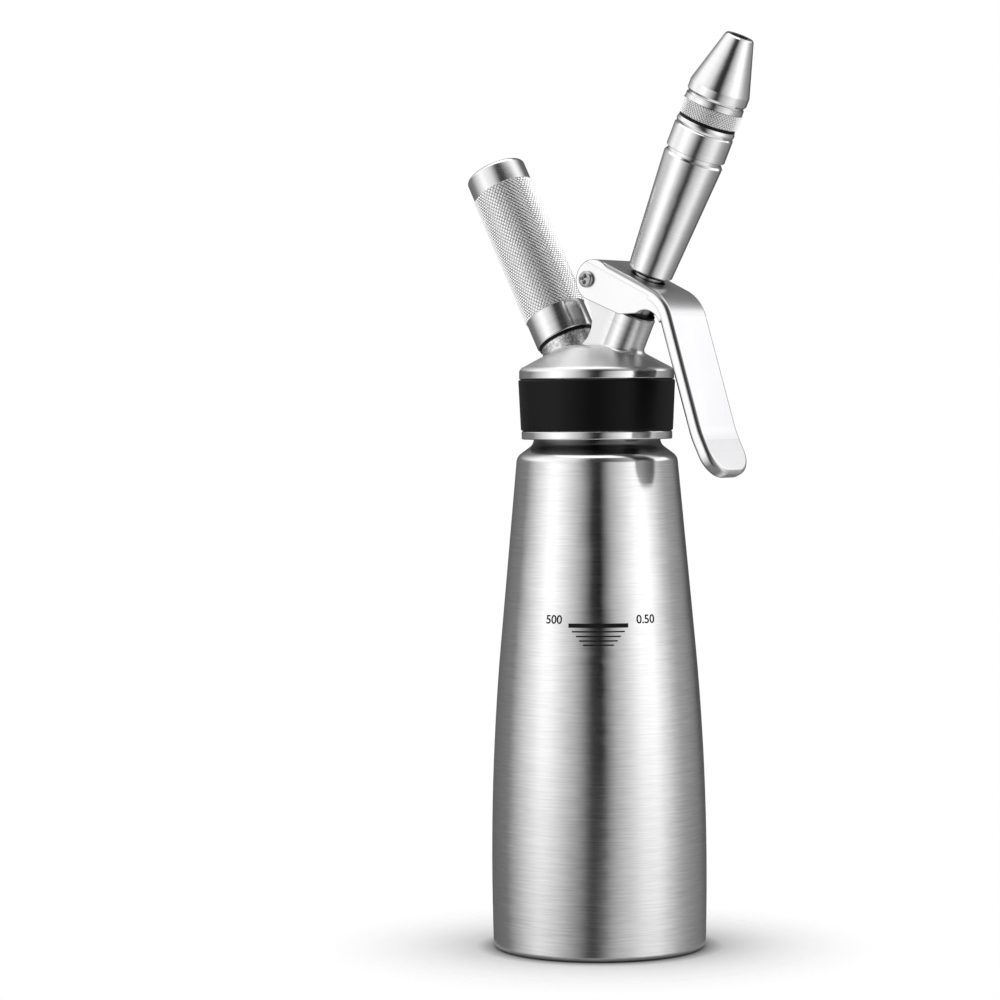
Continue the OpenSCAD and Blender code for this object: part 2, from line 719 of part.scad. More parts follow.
// Coil of round wire, one tube from end to end
spring_side = 0.3;
spring_r = spring_room - spring_wire / 2 - spring_side;
spring_low = spring_seat + spring_wire / 2 + seat_gap;
spring_high = stem_step - spring_wire / 2 - seat_gap;
spring_pitch = (spring_high - spring_low) / spring_turns;
spring_sides = 6;
spring_steps = 8 * spring_turns;
echo(spring_gap = spring_pitch * cos(atan(spring_pitch / (2 * PI * spring_r))) - spring_wire);
function coil_mid(i) = [spring_r * cos(45 * i), spring_r * sin(45 * i), spring_low + spring_pitch * i / 8];
function coil_point(i, k) = let(turn = 45 * i, out = [cos(turn), sin(turn), 0])
    coil_mid(i) + spring_wire / 2 * (cos(60 * k) * out + sin(60 * k) * [0, 0, 1]);

module return_spring() color(steel) on_valve() polyhedron(
    points = concat(
        [for (i = [0:spring_steps]) for (k = [0:spring_sides - 1]) coil_point(i, k)],
        [coil_mid(0), coil_mid(spring_steps)]),
    faces = concat(
        [for (i = [0:spring_steps - 1]) for (k = [0:spring_sides - 1]) for (half = [0, 1])
            let(a = i * spring_sides + k, b = i * spring_sides + (k + 1) % spring_sides)
            half == 0 ? [a, a + spring_sides, b] : [b, a + spring_sides, b + spring_sides]],
        [for (k = [0:spring_sides - 1])
            [k, (k + 1) % spring_sides, (spring_steps + 1) * spring_sides]],
        [for (k = [0:spring_sides - 1]) let(base = spring_steps * spring_sides)
            [base + (k + 1) % spring_sides, base + k, (spring_steps + 1) * spring_sides + 1]]));

module nozzle_tube() color(bright) on_valve() difference() {
    rotate_extrude() polygon([[0, tube_t], [tube_low_r - edge, tube_t], [tube_low_r, tube_t + edge],
        [tube_top_r, tube_end - 1.5 * edge], [tube_top_r - edge, tube_end], [0, tube_end]]);
    rod(tube_t - past, stem_end, stem_r + seat_gap);
    rod(tube_t, tube_end + past, nozzle_bore_r);
    rod(adaptor_low, tube_end + past, adaptor_spigot_r + seat_gap);
}

module nozzle_base_ring() color(black)
    on_valve() ring(tube_t - base_ring_h, tube_t, press_r + slot_extra - 4 * seat_gap, stem_r + seat_gap);

// Band and bead above the tube, with a spigot at each end
module nozzle_adaptor() color(bright) on_valve() {
    neck = tube_top_r - 2 * edge;
    bead_mid = (bead_t + tip_seal_t) / 2;
    bead_bulge = tube_top_r - edge / 4;
    difference() {
        rotate_extrude() polygon([[0, adaptor_low], [adaptor_spigot_r, adaptor_low],
            [adaptor_spigot_r, tube_end], [neck, tube_end], [neck, band_t], [tube_top_r - edge / 2, band_t],
            [tube_top_r, band_t + edge / 2], [tube_top_r, bead_t - edge], [tube_top_r - edge, bead_t],
            [bead_bulge, bead_mid - edge / 2], [bead_bulge, bead_mid + edge / 2],
            [tube_top_r - edge, tip_seal_t], [tip_spigot_r, tip_seal_t], [tip_spigot_r, disc_t], [0, disc_t]]);
        rod(adaptor_low - past, disc_t + past, nozzle_bore_r);
    }
}

module tip_seal() color(black)
    on_valve() ring(tip_seal_t, collar_t, tube_top_r - edge, tip_spigot_r + seat_gap);

module tip_collar() color(steel)
    on_valve() ring(collar_t, step_t, collar_r, tip_sleeve_r + seat_gap);

// Tapered outlet: sleeve in the collar, plain ring, groove, base with a broken lower edge, cone
module jet_tip() color(bright) on_valve() {
    sleeve_t = collar_t + 2 * seat_gap;
    ring_r = tip_r - 0.3;
    groove_r = tip_r - 0.9;
    groove_t = tip_t - 0.4;
    base_t = tip_t + 1.4;
    outlet_t = tip_end - outlet_len;
    disc_end = disc_t + disc_h;
    difference() {
        rotate_extrude() polygon([[0, sleeve_t], [tip_sleeve_r, sleeve_t], [tip_sleeve_r, step_t],
            [ring_r, step_t], [ring_r, groove_t], [groove_r, groove_t], [groove_r, tip_t], [tip_r, base_t],
            [tip_r, tip_cone_t], [tip_end_r, tip_end - edge], [tip_end_r - edge, tip_end], [0, tip_end]]);
        rod(sleeve_t - past, disc_end, tip_spigot_r + tip_gap);
        taper_rod(disc_end - seat_gap, outlet_t, tip_spigot_r - past, outlet_r);
        rod(outlet_t - past, tip_end + past, outlet_r);
    }
}

module diffuser_disc() color(steel) on_valve() {
    hole_r = 0.5;
    hole_ring_r = tip_spigot_r / 3;
    difference() {
        rod(disc_t, disc_t + disc_h, tip_spigot_r + tip_gap - seat_gap);
        for (i = [0:disc_holes - 1]) rotate(i * 360 / disc_holes) translate([hole_ring_r, 0, 0])
            rod(disc_t - past, disc_t + disc_h + past, hole_r);
    }
}

module charger_holder() color(steel) on_holder() {
    knurl_u = rim_u + holder_collar_len;
    cap_u = knurl_u + knurl_len;
    grip_r = holder_r + knurl_h;
    difference() {
        rotate_extrude() polygon(concat(
            [[0, rim_u], [holder_r - edge, rim_u], [holder_r, rim_u + edge], [holder_r, knurl_u],
                [grip_r, knurl_u + knurl_h], [grip_r, cap_u - knurl_h], [holder_r, cap_u]],
            arc([holder_r - cap_round, holder_top - cap_round], cap_round, 0, 90, 6),
            [[0, holder_top]]));
        rod(rim_u - past, holder_top - cap_t, bulb_r + bulb_gap);
    }
}

// Small gas bulb with a narrow neck, pierced at its cap
module gas_charger() color(bright) on_holder() {
    neck_u = bulb_low + 10;
    body_u = neck_u + 8;
    plug_u = neck_u - 4;
    inner = bulb_r - bulb_wall;
    throat = bulb_neck_r - bulb_wall;
    difference() {
        rotate_extrude() polygon(concat(
            [[0, bulb_low], [bulb_neck_r - edge, bulb_low], [bulb_neck_r, bulb_low + edge], [bulb_neck_r, neck_u],
                [bulb_r, body_u]],
            arc([0, bulb_top - bulb_r], bulb_r, 0, 90, 12)));
        rotate_extrude() polygon(concat(
            [[0, plug_u], [throat, plug_u], [throat, neck_u], [inner, body_u]],
            arc([0, bulb_top - bulb_r], inner, 0, 90, 12)));
        rod(bulb_low - past, plug_u + past, pierced_r);
    }
}

bottle();
head();
grip_ring();
head_gasket();
gland_bush();
stem_seal();
pivot_bush();
pivot_washers();
piercing_pin();
pin_seal();
check_valve();
holder_seal();
lever();
pivot_screw();
pivot_nut();
valve_stem();
valve_plunger();
plunger_seal();
return_spring();
nozzle_tube();
nozzle_base_ring();
nozzle_adaptor();
tip_seal();
tip_collar();
jet_tip();
diffuser_disc();
charger_holder();
gas_charger();
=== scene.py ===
"""Looks of the hand-held drink dispenser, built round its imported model.

Metres, +Z up. The lever and the nozzle lean towards +X and the charger holder leans towards -X.
New pieces are shaped in mm, upright round the Z axis, and then put in their place.
"""

import json
import math

import bmesh
import bpy
from mathutils import Matrix, Vector


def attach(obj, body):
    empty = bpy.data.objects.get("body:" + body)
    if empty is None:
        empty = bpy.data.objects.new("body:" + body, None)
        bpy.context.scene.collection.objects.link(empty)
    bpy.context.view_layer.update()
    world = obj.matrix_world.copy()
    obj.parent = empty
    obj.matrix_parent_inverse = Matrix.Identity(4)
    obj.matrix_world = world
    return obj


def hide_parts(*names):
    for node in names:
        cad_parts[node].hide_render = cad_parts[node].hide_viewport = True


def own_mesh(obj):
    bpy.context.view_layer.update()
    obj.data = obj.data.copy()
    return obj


MM = 0.001
FULL_TURN = 2 * math.pi

# Frames of the two leaning axes, and of the lever's pivot with its axis towards the screw's head
UPRIGHT = Matrix.Identity(4)
VALVE = Matrix.Translation((0, 0, 193.995 * MM)) @ Matrix.Rotation(math.radians(25.5), 4, "Y")
HOLDER = Matrix.Translation((0, 0, 194.995 * MM)) @ Matrix.Rotation(math.radians(-27.5), 4, "Y")
PIVOT = VALVE @ Matrix.Translation((-16.4 * MM, 0, 45.1 * MM)) @ Matrix.Rotation(math.radians(90), 4, "X")

CAMERA_AT = (690.0 * MM, -956.4 * MM, 197.9 * MM)
CAMERA_TURN = math.radians(37.524)
CAMERA_DIP = math.radians(-1.722)
CAMERA_LEAN = math.radians(-0.37)
LENS = 117.04
SENSOR = 36.0

# Ends of the two knurls along their axes, and the radius between their diamonds, in mm
HOLDER_KNURL_LOW, HOLDER_KNURL_HIGH, HOLDER_VALLEY = 39.9, 90.9, 11.0
COLLAR_LOW, COLLAR_HIGH, COLLAR_VALLEY = 113.8, 119.5, 10.6

# Fill mark: its height, its place round the bottle, and the bottle's radius there, in mm, and slope
FILL_Z = 118.9 * MM
FILL_TURN = math.radians(-54)
FILL_RADIUS = 34.52
FILL_SLOPE = math.radians(5.25)
# Rise above the mark, half width and half height of the printed bars, in mm
FILL_BARS = (
    (0.0, 10.75, 0.76),
    (-2.13, 9.45, 0.26),
    (-3.78, 8.0, 0.26),
    (-5.35, 6.85, 0.26),
    (-6.84, 5.5, 0.26),
)

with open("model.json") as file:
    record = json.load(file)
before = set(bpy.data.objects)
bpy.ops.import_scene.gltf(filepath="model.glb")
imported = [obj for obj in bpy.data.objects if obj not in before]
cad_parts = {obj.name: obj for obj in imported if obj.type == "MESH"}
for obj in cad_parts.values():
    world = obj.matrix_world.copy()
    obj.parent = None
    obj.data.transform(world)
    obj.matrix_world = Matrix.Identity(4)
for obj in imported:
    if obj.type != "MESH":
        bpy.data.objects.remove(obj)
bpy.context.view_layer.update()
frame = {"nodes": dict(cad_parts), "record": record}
nodes = frame["nodes"]


class Wire:
    """One output in a node tree. Sums and products of wires and numbers add Math nodes."""

    def __init__(self, look, output):
        self.look = look
        self.output = output

    def maths(self, operation, left, right=0.0):
        return self.look.add("ShaderNodeMath", {"operation": operation}, {0: left, 1: right})

    def __add__(self, other):
        return self.maths("ADD", self, other)

    def __radd__(self, other):
        return self.maths("ADD", other, self)

    def __sub__(self, other):
        return self.maths("SUBTRACT", self, other)

    def __rsub__(self, other):
        return self.maths("SUBTRACT", other, self)

    def __mul__(self, other):
        return self.maths("MULTIPLY", self, other)

    def __rmul__(self, other):
        return self.maths("MULTIPLY", other, self)

    def __truediv__(self, other):
        return self.maths("DIVIDE", self, other)

    def __lt__(self, other):
        return self.maths("LESS_THAN", self, other)

    def size(self):
        return self.maths("ABSOLUTE", self)

    def least(self, other):
        return self.maths("MINIMUM", self, other)

    def most(self, other):
        return self.maths("MAXIMUM", self, other)

    def angle_to(self, other):
        return self.maths("ARCTAN2", self, other)

    def length_with(self, other):
        return self.maths("SQRT", self * self + other * other)

    def share(self, start, end):
        """0 before start, 1 past end, and even steps between them."""
        return ((self - start) / (end - start)).most(0.0).least(1.0)

    def swing(self, width):
        """Noise from 0 to 1 as a change of half a width either way."""
        return (self - 0.5) * width

    def parts(self):
        """The three outputs of the node that splits a vector."""
        return [Wire(self.look, output) for output in self.output.node.outputs]


class Finish:
    """A node tree of a material or of the world, to which nodes are added one at a time."""

    def __init__(self, tree):
        tree.nodes.clear()
        self.tree = tree

    def add(self, kind, settings=None, inputs=None, output=0):
        node = self.tree.nodes.new(kind)
        for name, value in (settings or {}).items():
            if name == "stops":
                self.set_stops(node.color_ramp, value)
            else:
                setattr(node, name, value)
        for key, value in (inputs or {}).items():
            if isinstance(value, Wire):
                self.tree.links.new(value.output, node.inputs[key])
            else:
                node.inputs[key].default_value = value
        return Wire(self, node.outputs[output]) if node.outputs else None

    def set_stops(self, ramp, stops):
        while len(ramp.elements) < len(stops):
            ramp.elements.new(1.0)
        for element, (place, level) in zip(ramp.elements, stops):
            element.position = place
            element.color = (level, level, level, 1.0)

    def point(self, place=UPRIGHT):
        """The shaded point, in metres, measured in a frame."""
        here = self.add("ShaderNodeTexCoord", output="Object")
        if place == UPRIGHT:
            return here
        back = place.inverted()
        return self.add("ShaderNodeMapping", {}, {"Vector": here, "Rotation": back.to_euler(),
                                                  "Location": back.translation})

    def split(self, point):
        return self.add("ShaderNodeSeparateXYZ", {}, {0: point}).parts()

    def grain(self, point, scale, detail=2.0, roughness=0.5):
        """Noise with so many waves to the metre along x, y and z."""
        stretched = self.add("ShaderNodeVectorMath", {"operation": "MULTIPLY"}, {0: point, 1: scale})
        return self.add("ShaderNodeTexNoise", {}, {"Vector": stretched, "Scale": 1.0, "Detail": detail,
                                                   "Roughness": roughness})

    def tint(self, share, first, second):
        return self.add("ShaderNodeMix", {"data_type": "RGBA"}, {0: share, 6: first, 7: second}, output=2)

    def bump(self, height, depth):
        return self.add("ShaderNodeBump", {}, {"Height": height, "Distance": depth, "Strength": 1.0})

    def surface(self, **sockets):
        """Principled surface: base_color sets its Base Color, and so on."""
        names = {key.replace("_", " ").title().replace("Ior", "IOR"): value for key, value in sockets.items()}
        shader = self.add("ShaderNodeBsdfPrincipled", {}, names)
        self.add("ShaderNodeOutputMaterial", {}, {"Surface": shader})


def new_finish(name):
    material = bpy.data.materials.new(name)
    material.use_nodes = True
    return material, Finish(material.node_tree)


def grey(level):
    """Grey with a touch of blue."""
    return (level, level, level * 1.008, 1.0)


# Finishes

def bottle_finish():
    """Steel brushed round the bottle, finer towards the top, with painted shade round the neck's root under
    the head, and the fill mark.
    """
    coarse_z, fine_z = 50 * MM, 135 * MM
    shoulder_low, shoulder_high = 150 * MM, 172 * MM
    root_start, root_low, root_high, root_end = 177.5 * MM, 181 * MM, 184.5 * MM, 187.5 * MM
    material, look = new_finish("bottle_brushed")
    here = look.point()
    x, y, z = look.split(here)
    lines = look.grain(here, (95, 95, 2300), detail=3.0) * 0.75 + look.grain(here, (40, 40, 900)) * 0.25
    streak = lines.share(0.2, 0.8)
    patch = look.grain(here, (38, 38, 38))
    # Painted shade: the steel's colour goes dark round the neck's root, under the head's flange.
    root_shade = z.share(root_start, root_low) * z.share(root_end, root_high)
    arc = (y.angle_to(x) - FILL_TURN).size() * x.length_with(y)
    ink = None
    for rise, half_width, half_height in FILL_BARS:
        bar = (arc < half_width * MM) * ((z - (FILL_Z + rise * MM)).size() < half_height * MM)
        ink = bar if ink is None else ink.most(bar)
    fine = z.share(coarse_z, fine_z)
    shoulder = z.share(shoulder_low, shoulder_high)
    rough = 0.19 - fine * 0.05 + shoulder * 0.03 + streak.swing(0.1) + patch.swing(0.05)
    dim = look.tint(fine, grey(0.5), grey(0.58))
    bright = look.tint(fine, grey(0.66), grey(0.74))
    steel = look.tint(root_shade, look.tint(streak, dim, bright), grey(0.15))
    look.surface(base_color=look.tint(ink, steel, grey(0.004)),
                 metallic=1.0 - ink,
                 roughness=rough.most(ink * 0.6),
                 specular_ior_level=0.2,
                 normal=look.bump(streak, 0.009 * MM))
    return material


def head_finish():
    """Cast head: satin dome, turned flange and band, brushed spout neck and a rough inlet stub."""
    turned_end, turned_top = 209.6 * MM, 208.8 * MM
    stub_edge, stub_r, stub_start, stub_low = 10.7 * MM, 10.4 * MM, 14 * MM, 17 * MM
    neck_edge, neck_r, neck_start, neck_low = 9.4 * MM, 8.1 * MM, 22 * MM, 25 * MM
    material, look = new_finish("head_satin")
    here = look.point()
    z = look.split(here)[2]
    in_valve = look.point(VALVE)
    valve_x, valve_y, valve_z = look.split(in_valve)
    stub_x, stub_y, stub_z = look.split(look.point(HOLDER))
    stub = stub_x.length_with(stub_y).share(stub_edge, stub_r) * stub_z.share(stub_start, stub_low)
    neck = valve_x.length_with(valve_y).share(neck_edge, neck_r) * valve_z.share(neck_start, neck_low)
    turned = z.share(turned_end, turned_top)
    satin = look.grain(here, (1900, 1900, 1900), detail=3.0, roughness=0.6)
    rings = look.grain(here, (40, 40, 2600), detail=3.0)
    brushed = look.grain(in_valve, (60, 60, 2400), detail=3.0)
    cloud = look.grain(here, (55, 55, 55))
    cast = look.grain(here, (1050, 1050, 1050), detail=4.0, roughness=0.65)
    plain = (1.0 - stub) * (1.0 - turned) * (1.0 - neck)
    grain = satin * plain + rings * turned + brushed * neck + cast * stub
    rough = 0.37 * plain + 0.15 * turned + 0.24 * neck + 0.27 * stub
    tone = look.tint(grain, grey(0.6), grey(0.74))
    look.surface(base_color=look.tint(stub * cast.share(0.6, 0.4), tone, grey(0.4)),
                 metallic=1.0,
                 roughness=rough + grain.swing(0.1) + cloud.swing(0.06),
                 normal=look.bump(grain * (0.12 + 0.88 * stub), 0.13 * MM))
    return material


def lever_finish():
    """Blasted steel, a little cloudy, with painted shade along its edges."""
    edge_shade_width = 0.6 * MM
    material, look = new_finish("lever_satin")
    here = look.point()
    blast = look.grain(here, (1500, 1500, 1500), detail=3.0)
    cloud = look.grain(here, (60, 60, 60))
    # Painted shade: the base colour goes dark on the rounded edges, found from the normal, and at sharp
    # edges, found by occlusion inside.
    sideways = look.split(look.add("ShaderNodeNewGeometry", output="Normal"))[1].size()
    rounded_edge_shade = sideways.share(0.25, 0.5) * sideways.share(0.97, 0.85)
    room_inside = look.add("ShaderNodeAmbientOcclusion", {"inside": True, "only_local": True},
                           {"Distance": edge_shade_width}, output="AO")
    sharp_edge_shade = room_inside.share(0.85, 0.6)
    edge = rounded_edge_shade.most(sharp_edge_shade)
    look.surface(base_color=look.tint(edge, look.tint(blast, grey(0.65), grey(0.77)), grey(0.2)),
                 metallic=1.0,
                 roughness=0.3 + blast.swing(0.08) + cloud.swing(0.08),
                 normal=look.bump(blast, 0.003 * MM))
    return material


def steel_finish(name, level, rough, place, scale):
    """Satin or turned steel: fine grain stretched along one direction of a frame."""
    material, look = new_finish(name)
    here = look.point(place)
    streak = look.grain(here, scale, detail=3.0)
    cloud = look.grain(here, (60, 60, 60))
    look.surface(base_color=look.tint(streak, grey(level - 0.07), grey(level + 0.05)),
                 metallic=1.0,
                 roughness=rough + streak.swing(0.1) + cloud.swing(0.06),
                 normal=look.bump(streak, 0.003 * MM))
    return material


def knurl_finish(name, level, rough, place, valley, crest, low, high, groove_shade_level):
    """Turned steel whose knurl, between two heights of a frame, has painted shade down its grooves."""
    fade = 0.3
    material, look = new_finish(name)
    here = look.point(place)
    x, y, z = look.split(here)
    streak = look.grain(here, (60, 60, 2500), detail=3.0)
    cloud = look.grain(here, (60, 60, 60))
    band = z.share(low * MM, (low + fade) * MM) * z.share(high * MM, (high - fade) * MM)
    # Painted shade: the base colour goes dark down the knurl's grooves.
    groove_shade = x.length_with(y).share(crest * MM, valley * MM) * band
    plain = look.tint(streak, grey(level - 0.07), grey(level + 0.05))
    look.surface(base_color=look.tint(groove_shade, look.tint(band, plain, grey(0.85)), grey(groove_shade_level)),
                 metallic=1.0,
                 roughness=rough + band * 0.1 + streak.swing(0.1) + cloud.swing(0.06),
                 normal=look.bump(streak, 0.008 * MM))
    return material


def brass_finish():
    """Turned brass, a little dull in patches."""
    material, look = new_finish("bush_brass")
    here = look.point(PIVOT)
    streak = look.grain(here, (80, 80, 2600), detail=3.0)
    cloud = look.grain(here, (300, 300, 300))
    look.surface(base_color=look.tint(cloud, (0.5, 0.33, 0.12, 1), (0.68, 0.49, 0.2, 1)),
                 metallic=1.0,
                 roughness=0.26 + streak.swing(0.1) + cloud.swing(0.12),
                 normal=look.bump(streak, 0.008 * MM))
    return material


def rubber_finish(name, level, rough):
    """Matte black silicone or plastic with a fine moulded skin."""
    material, look = new_finish(name)
    here = look.point()
    skin = look.grain(here, (2600, 2600, 2600), detail=3.0, roughness=0.6)
    cloud = look.grain(here, (45, 45, 45))
    look.surface(base_color=look.tint(cloud, grey(level * 0.7), grey(level * 1.3)),
                 roughness=rough + cloud.swing(0.1) + skin.swing(0.1),
                 specular_ior_level=0.14,
                 normal=look.bump(skin, 0.02 * MM))
    return material


bottle_steel = bottle_finish()
head_steel = head_finish()
lever_steel = lever_finish()
nozzle_steel = steel_finish("nozzle_satin", level=0.68, rough=0.15, place=VALVE, scale=(40, 40, 3000))
plain_steel = steel_finish("steel_plain", level=0.36, rough=0.24, place=PIVOT, scale=(300, 300, 2000))
holder_steel = knurl_finish("knurled_satin", level=0.66, rough=0.17, place=HOLDER, valley=HOLDER_VALLEY,
                            crest=11.13, low=HOLDER_KNURL_LOW, high=HOLDER_KNURL_HIGH, groove_shade_level=0.04)
collar_steel = knurl_finish("collar_knurled", level=0.68, rough=0.2, place=VALVE, valley=COLLAR_VALLEY,
                            crest=10.7, low=COLLAR_LOW, high=COLLAR_HIGH, groove_shade_level=0.5)
bulb_steel = steel_finish("bulb_steel", level=0.5, rough=0.3, place=HOLDER, scale=(200, 200, 1200))
brass = brass_finish()
silicone = rubber_finish("silicone_black", level=0.002, rough=0.42)
black_plastic = rubber_finish("plastic_black", level=0.003, rough=0.4)

slot_finish = {
    "bottle_brushed": bottle_steel, "head_satin": head_steel, "silicone_black": silicone,
    "plastic_black": black_plastic, "bush_brass": brass, "lever_satin": lever_steel,
    "nozzle_satin": nozzle_steel, "steel_plain": plain_steel, "knurled_satin": holder_steel,
    "bulb_steel": bulb_steel,
}
for row in frame["record"]["subparts"]:
    nodes[row["node"]].material_slots[0].material = slot_finish[row["material_slot"]]

# Edges sharper than these angles stay creases. The cone of the jet tip meets its base at a slight one.
CREASE = math.radians(30)
TIP_CREASE = math.radians(12)


def join_seams(node, crease):
    """Shade a node's round faces evenly across the seams of its mesh, and keep its creases."""
    joined = node.modifiers.new("joined", "WELD")
    joined.merge_threshold = 0.002 * MM
    creases = node.modifiers.new("creases", "EDGE_SPLIT")
    creases.split_angle = crease
    node.modifiers.new("even_normals", "WEIGHTED_NORMAL")


for name, node in nodes.items():
    join_seams(node, TIP_CREASE if name == "jet_tip" else CREASE)


# Pieces

# Faces to a turn of the round pieces and of the coils, and the angle from which an edge is shaded sharp
ROUND_STEPS = 128
COIL_STEPS = 56
SHARP = math.radians(32)


def everything(shape):
    return shape.verts[:] + shape.edges[:] + shape.faces[:]


def points_of(geometry):
    return [item for item in geometry if isinstance(item, bmesh.types.BMVert)]


def turn_round(shape, outline, steps):
    """Spin an outline of radii and heights once round the upright axis."""
    points = [shape.verts.new((radius, 0, height)) for radius, height in outline]
    lines = [shape.edges.new(pair) for pair in zip(points, points[1:])]
    bmesh.ops.spin(shape, geom=points + lines, cent=(0, 0, 0), axis=(0, 0, 1), angle=FULL_TURN, steps=steps,
                   use_merge=True)


def rounding(middle, radius, start, end, steps):
    """Points of an outline on an arc between two angles in degrees."""
    angles = [math.radians(start + (end - start) * i / steps) for i in range(steps + 1)]
    return [(middle[0] + radius * math.cos(a), middle[1] + radius * math.sin(a)) for a in angles]


def knurl(shape, low, high, valley, depth, count, rows):
    """Band of raised diamonds: one diamond, repeated round the axis, then in rows up it, and cut level."""
    slope_share = 0.75
    height = (high - low) / rows
    half_width = valley * math.tan(math.pi / count)
    inner = half_width * height / 2 / math.hypot(half_width, height / 2)
    bmesh.ops.create_circle(shape, cap_ends=True, segments=4, radius=1.0, matrix=Matrix((
        (0, 0, 1, valley), (half_width, 0, 0, 0), (0, height / 2, 0, low), (0, 0, 0, 1))))
    bmesh.ops.inset_individual(shape, faces=shape.faces[:], thickness=slope_share * inner, depth=depth,
                               use_even_offset=True)
    bmesh.ops.spin(shape, geom=everything(shape), cent=(0, 0, 0), axis=(0, 0, 1), steps=count - 1,
                   angle=FULL_TURN * (count - 1) / count, use_duplicate=True)
    between = bmesh.ops.duplicate(shape, geom=everything(shape))["geom"]
    half_step = Matrix.Translation((0, 0, height / 2)) @ Matrix.Rotation(math.pi / count, 4, "Z")
    bmesh.ops.transform(shape, matrix=half_step, verts=points_of(between))
    bmesh.ops.spin(shape, geom=everything(shape), cent=(0, 0, 0), axis=(0, 0, 1), dvec=(0, 0, height),
                   angle=0, steps=rows, use_duplicate=True)
    bmesh.ops.remove_doubles(shape, verts=shape.verts, dist=0.03)
    for level, side in ((low, -1), (high, 1)):
        bmesh.ops.bisect_plane(shape, geom=everything(shape), dist=0.001, plane_co=(0, 0, level),
                               plane_no=(0, 0, side), clear_outer=True)


def join_rims(shape, height):
    """Bridge the two open rims that face each other at a height."""
    reach = 0.25
    rims = [e for e in shape.edges if e.is_boundary and abs(e.verts[0].co.z - height) < reach]
    bmesh.ops.bridge_loops(shape, edges=rims)


def wind(shape, turns, rise):
    """Sweep the face in a mesh round the upright axis and up it."""
    steps = round(turns * COIL_STEPS)
    bmesh.ops.spin(shape, geom=everything(shape), cent=(0, 0, 0), axis=(0, 0, 1), dvec=(0, 0, rise / steps),
                   angle=turns * FULL_TURN, steps=steps)


def new_piece(name, shape, place, finish, body):
    """Close the mesh, turn its faces outwards, put it in place and give it its finish and its body."""
    bmesh.ops.remove_doubles(shape, verts=shape.verts, dist=0.001)
    bmesh.ops.recalc_face_normals(shape, faces=shape.faces)
    for face in shape.faces:
        face.smooth = True
    bmesh.ops.transform(shape, matrix=place @ Matrix.Scale(MM, 4), verts=shape.verts)
    mesh = bpy.data.meshes.new(name)
    shape.to_mesh(mesh)
    shape.free()
    mesh.set_sharp_from_angle(angle=SHARP)
    mesh.materials.append(finish)
    piece = bpy.data.objects.new(name, mesh)
    bpy.context.scene.collection.objects.link(piece)
    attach(piece, body)
    return piece


def flattened(piece):
    """The mesh that a piece shows, with its modifiers or letters worked out."""
    bpy.context.view_layer.update()
    return bpy.data.meshes.new_from_object(piece.evaluated_get(bpy.context.evaluated_depsgraph_get()))


def add_holder():
    """Charger holder: plain collar, knurled grip, plain closed cap, and the bulb's room inside."""
    rim, top, outer, bore = 29.2, 99.4, 11.2, 9.3
    rim_round, bore_edge, cap_round, cap_thick = 0.5, 0.3, 1.5, 3.2
    margin, height, diamonds, rows = 0.15, 0.57, 50, 30
    collar = ([(outer, HOLDER_KNURL_LOW), (outer, rim + rim_round)]
              + rounding((outer - rim_round, rim + rim_round), rim_round, 0, -90, 4)[1:])
    room = [(bore + bore_edge, rim), (bore, rim + bore_edge), (bore, top - cap_thick), (0, top - cap_thick)]
    cap = ([(outer, HOLDER_KNURL_HIGH)]
           + rounding((outer - cap_round, top - cap_round), cap_round, 0, 90, 8) + [(0, top)])
    shape = bmesh.new()
    knurl(shape, HOLDER_KNURL_LOW + margin, HOLDER_KNURL_HIGH - margin, HOLDER_VALLEY, height, diamonds, rows)
    turn_round(shape, collar + room, ROUND_STEPS)
    turn_round(shape, cap, ROUND_STEPS)
    join_rims(shape, HOLDER_KNURL_LOW)
    join_rims(shape, HOLDER_KNURL_HIGH)
    holder = new_piece("knurled_holder", shape, HOLDER, holder_steel, "holder")
    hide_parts("charger_holder")


def add_collar():
    """Knurled collar of the jet tip."""
    low, high, outer, bore = COLLAR_LOW, COLLAR_HIGH, COLLAR_VALLEY, 8.65
    margin, height, diamonds, rows = 0.25, 0.37, 60, 4
    edge_in, edge_up, face_in, rim_up = 0.05, 0.1, 0.25, 0.2
    shape = bmesh.new()
    knurl(shape, low + margin, high - margin, outer, height, diamonds, rows)
    turn_round(shape, [(outer - edge_in, low + edge_up), (outer - face_in, low), (bore, low), (bore, high),
                       (outer - face_in, high), (outer - edge_in, high - edge_up)], ROUND_STEPS)
    join_rims(shape, low + rim_up)
    join_rims(shape, high - rim_up)
    collar = new_piece("knurled_collar", shape, VALVE, collar_steel, "tip")
    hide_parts("tip_collar")


